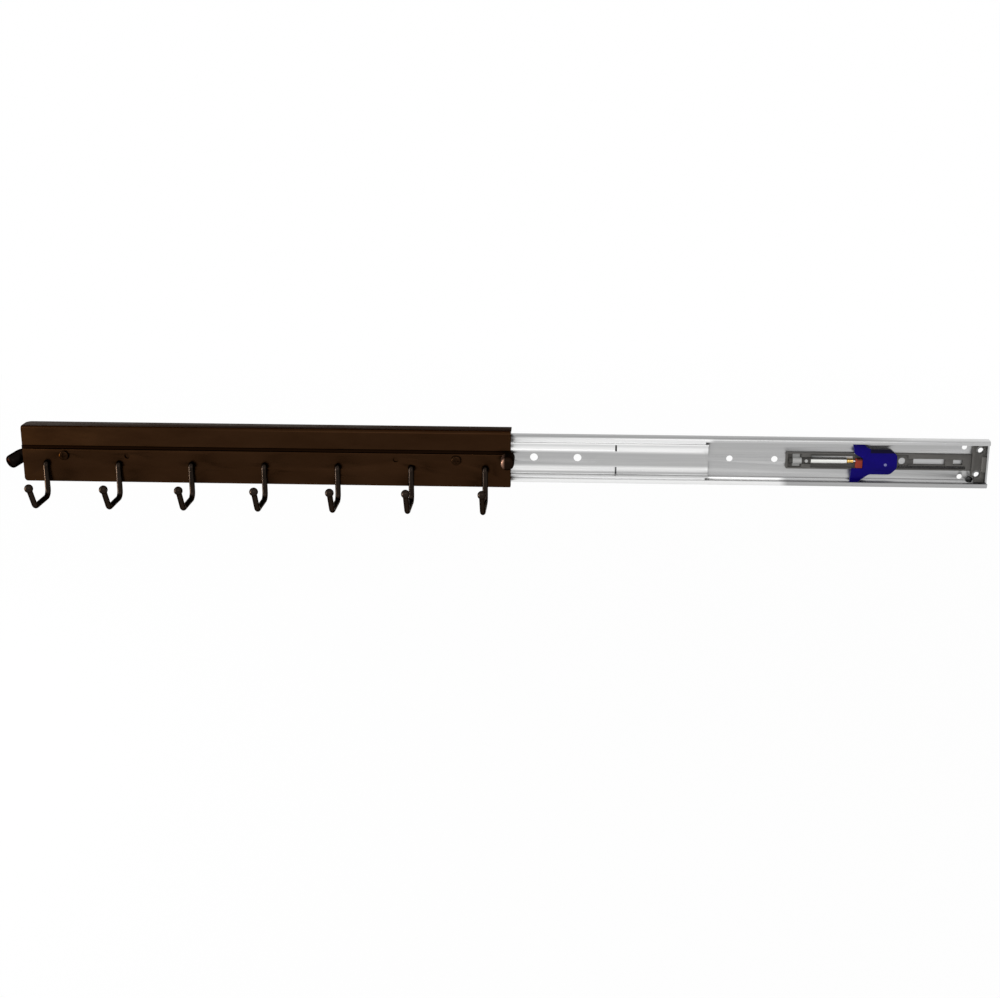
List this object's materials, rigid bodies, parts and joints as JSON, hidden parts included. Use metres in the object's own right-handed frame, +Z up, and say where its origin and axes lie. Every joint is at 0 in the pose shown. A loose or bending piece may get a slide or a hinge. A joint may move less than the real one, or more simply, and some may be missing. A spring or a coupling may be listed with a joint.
{
  "type": "pull-out belt rack",
  "caption": "Pull-out belt rack: dark bronze rail with ball-tipped wire hooks on a full-extension ball slide with a soft-close unit, fixed to a cabinet side wall.",
  "frame": {"origin": "middle of the outer member's flat back face, where it lies against the cabinet's side wall", "axes": "+X along the slide in the closing direction, so the rack pulls out along -X; +Y into the cabinet wall; +Z up"},
  "size_m": [0.7094, 0.0603, 0.0533],
  "materials": {
    "zinc_steel": "bright zinc plate, satin",
    "bright_steel": "polished steel",
    "bronze_rail": "oil-rubbed bronze coat, satin",
    "bronze_wire": "dark oil-rubbed bronze, semi-gloss",
    "black_rubber": "matt",
    "grey_plastic": "moulded, matt",
    "blue_plastic": "moulded, satin",
    "red_plastic": "moulded, satin",
    "brass": "turned",
    "spring_steel": "oiled spring wire",
    "dark_steel": "blackened"
  },
  "bodies": {
    "outer": {"outer_member": "zinc_steel", "damper_tray": "grey_plastic", "damper_cylinder": "bright_steel", "damper_gland": "brass", "return_spring": "spring_steel", "rear_stop": "grey_plastic", "tray_rivet": "dark_steel"},
    "outer_balls": {"outer_cage_upper": "bright_steel", "outer_cage_lower": "bright_steel"},
    "intermediate": {"intermediate_member": "zinc_steel"},
    "inner_balls": {"inner_cage": "bright_steel"},
    "rail": {"inner_member": "zinc_steel", "belt_rail": "bronze_rail", "belt_hook_1": "bronze_wire", "belt_hook_2": "bronze_wire", "belt_hook_3": "bronze_wire", "belt_hook_4": "bronze_wire", "belt_hook_5": "bronze_wire", "belt_hook_6": "bronze_wire", "belt_hook_7": "bronze_wire", "rail_screw_front": "bronze_wire", "rail_screw_rear": "bronze_wire", "finger_pull": "bronze_wire", "rear_bumper": "black_rubber"},
    "trigger": {"close_trigger": "blue_plastic", "rod_coupling": "red_plastic", "damper_rod": "bright_steel"}
  },
  "joints": [
    {"name": "intermediate_slide", "type": "slide", "parent": "outer", "child": "intermediate", "axis": [1, 0, 0], "range_m": [0, 0.193]},
    {"name": "rail_slide", "type": "slide", "parent": "intermediate", "child": "rail", "axis": [1, 0, 0], "range_m": [0, 0.154]},
    {"name": "outer_balls_roll", "type": "slide", "parent": "outer", "child": "outer_balls", "axis": [1, 0, 0], "range_m": [0, 0.0965]},
    {"name": "inner_balls_roll", "type": "slide", "parent": "intermediate", "child": "inner_balls", "axis": [1, 0, 0], "range_m": [0, 0.077]},
    {"name": "trigger_slide", "type": "slide", "parent": "outer", "child": "trigger", "axis": [1, 0, 0], "range_m": [0, 0.032], "deforming": ["return_spring"]}
  ],
  "couplings": [
    {"joint": "outer_balls_roll", "follows": "intermediate_slide", "ratio": 0.5},
    {"joint": "inner_balls_roll", "follows": "rail_slide", "ratio": 0.5}
  ]
}
